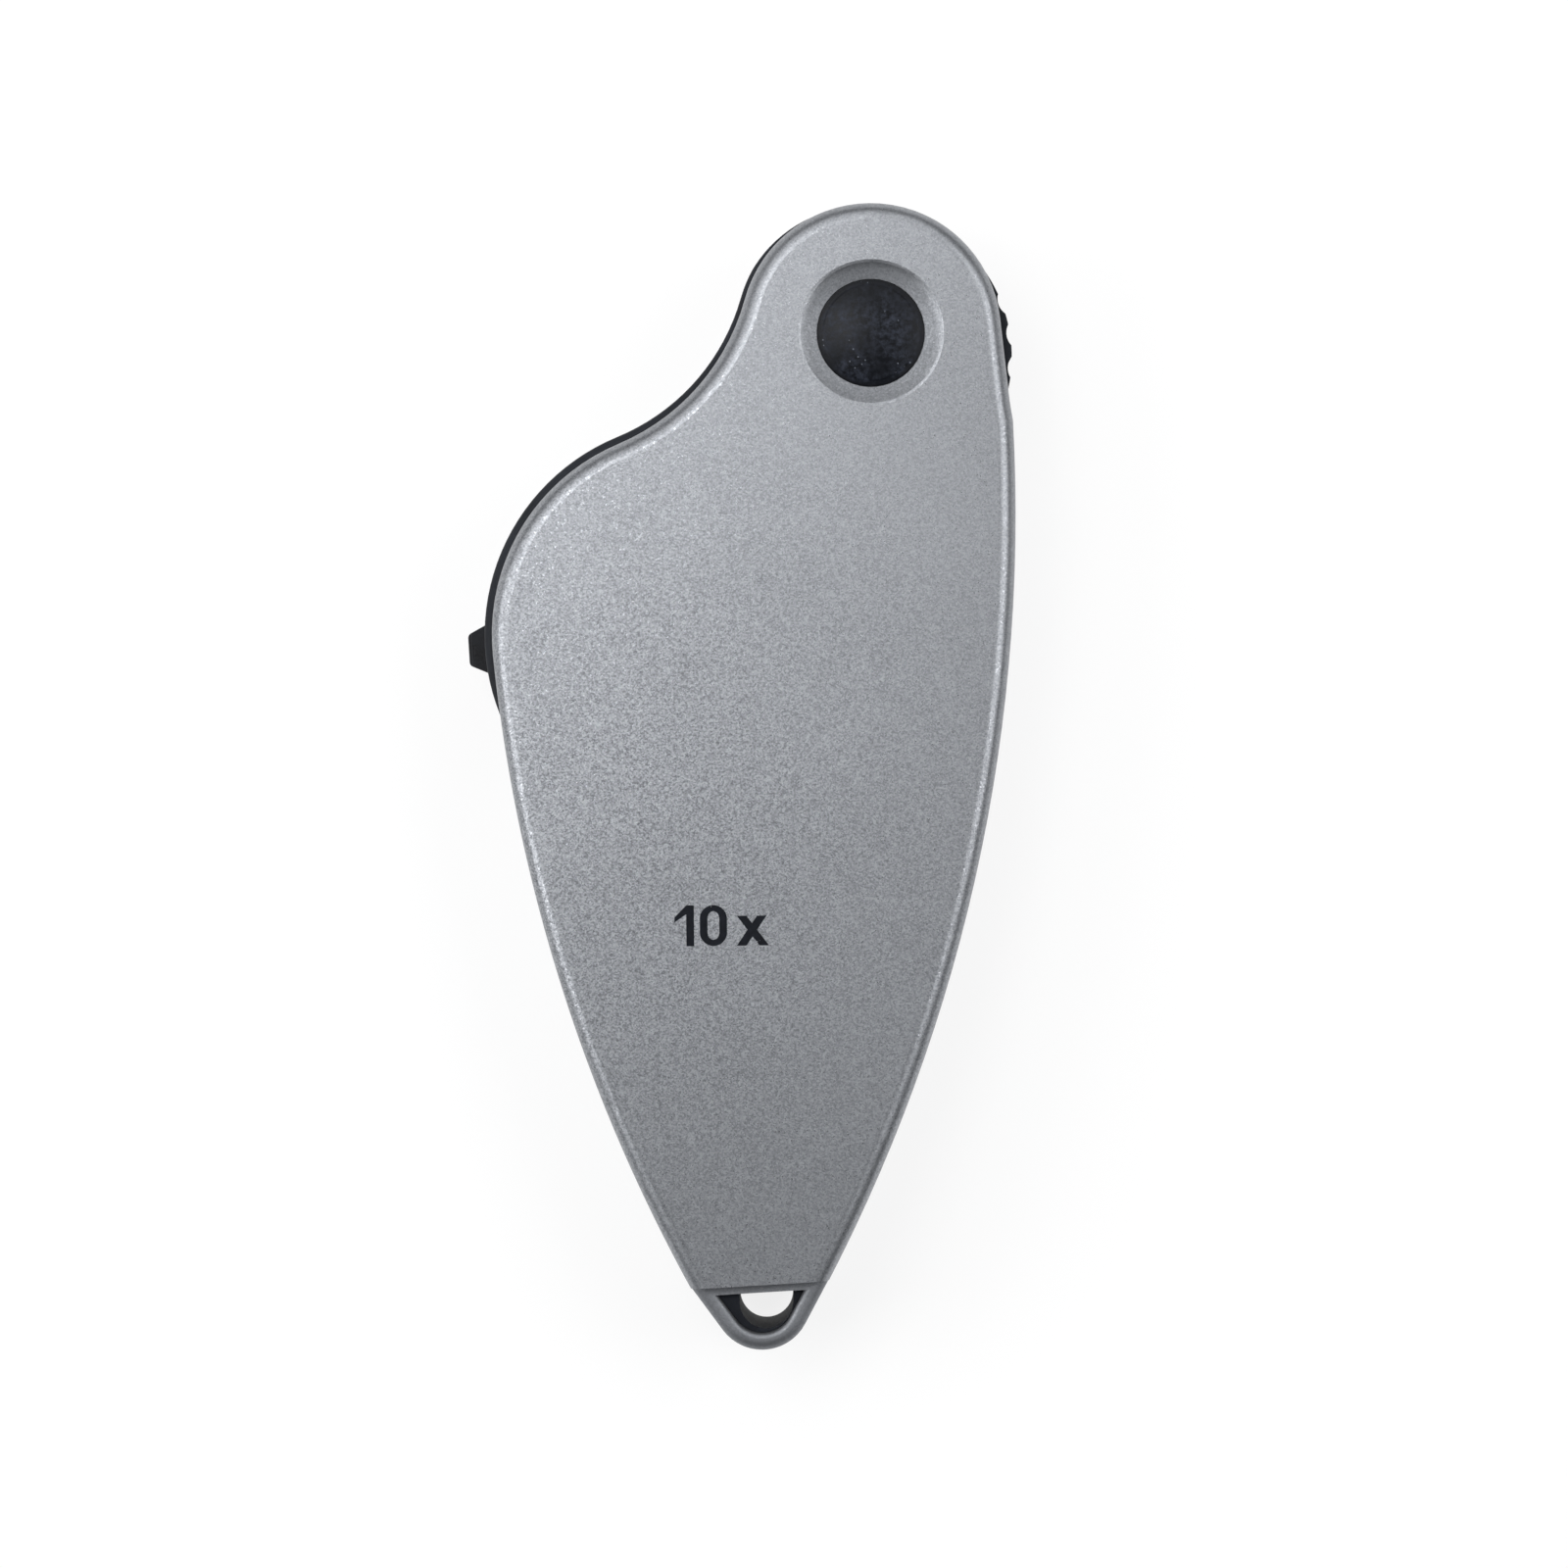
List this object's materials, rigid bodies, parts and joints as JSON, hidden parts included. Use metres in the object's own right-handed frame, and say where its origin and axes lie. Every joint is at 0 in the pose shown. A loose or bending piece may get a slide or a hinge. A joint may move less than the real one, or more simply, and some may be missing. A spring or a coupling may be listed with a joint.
{
  "type": "folding loupe",
  "caption": "Leaf-shaped silver pocket loupe, closed: a black lens carrier with triplet lens and lamp swings out of a two-shell case, with a lanyard eye at the tail.",
  "frame": {"origin": "on the flat rear face of the case, under the widest section of the leaf", "axes": "+Z out of the front face towards the viewer, +Y along the case towards the hinge end, +X to the thumb side, away from the bulge"},
  "size_m": [0.0451, 0.0937, 0.016],
  "materials": {
    "silver_paint": "silver metallic paint on moulded plastic, fine grain",
    "black_plastic": "fine spark-eroded texture",
    "black_gloss_plastic": "satin gloss",
    "knob_plastic": "satin gloss",
    "black_anodised": "black anodised",
    "screw_steel": "zinc plated",
    "sleeve_steel": "turned",
    "spring_steel": "blank",
    "switch_steel": "tinned",
    "cell_steel": "nickel plated",
    "bush_brass": "turned",
    "contact_brass": "nickel flashed",
    "lens_glass": "polished, coated",
    "lamp_resin": "clear resin",
    "board_green": "solder mask"
  },
  "bodies": {
    "case": {"front_shell": "silver_paint", "rear_shell": "silver_paint", "eye_liner": "black_plastic", "case_screws": "screw_steel", "front_pivot_cap": "black_gloss_plastic", "rear_pivot_cap": "black_gloss_plastic", "pivot_screw": "screw_steel", "pivot_nut": "screw_steel", "pivot_sleeve": "sleeve_steel", "wave_washer": "spring_steel", "front_thrust_washer": "spring_steel", "rear_thrust_washer": "spring_steel"},
    "lens_carrier": {"pivot_bush": "bush_brass", "carrier_front": "black_plastic", "carrier_rear": "black_plastic", "carrier_screws": "screw_steel", "lens_cell": "black_anodised", "front_flint_lens": "lens_glass", "crown_lens": "lens_glass", "rear_flint_lens": "lens_glass", "lens_retainer": "black_anodised", "button_cells": "cell_steel", "battery_spring": "contact_brass", "contact_strip": "contact_brass", "circuit_board": "board_green", "lamp": "lamp_resin", "switch_can": "switch_steel"},
    "lamp_switch": {"switch_knob": "knob_plastic"},
    "cell_cap": {"battery_cap": "black_plastic", "cap_contact": "contact_brass"}
  },
  "joints": [
    {"name": "lens_swing", "type": "hinge", "parent": "case", "child": "lens_carrier", "pos_m": [0.01, 0.0135, 0.008], "axis": [0, 0, -1], "range_deg": [0, 180]},
    {"name": "switch_slide", "type": "slide", "parent": "lens_carrier", "child": "lamp_switch", "axis": [-0.0523, 0.9986, 0], "range_m": [0, 0.002]},
    {"name": "cap_turn", "type": "hinge", "parent": "lens_carrier", "child": "cell_cap", "pos_m": [0.01344, -0.0008, 0.008], "axis": [0.8626, -0.5059, 0], "range_deg": [0, 45]}
  ]
}
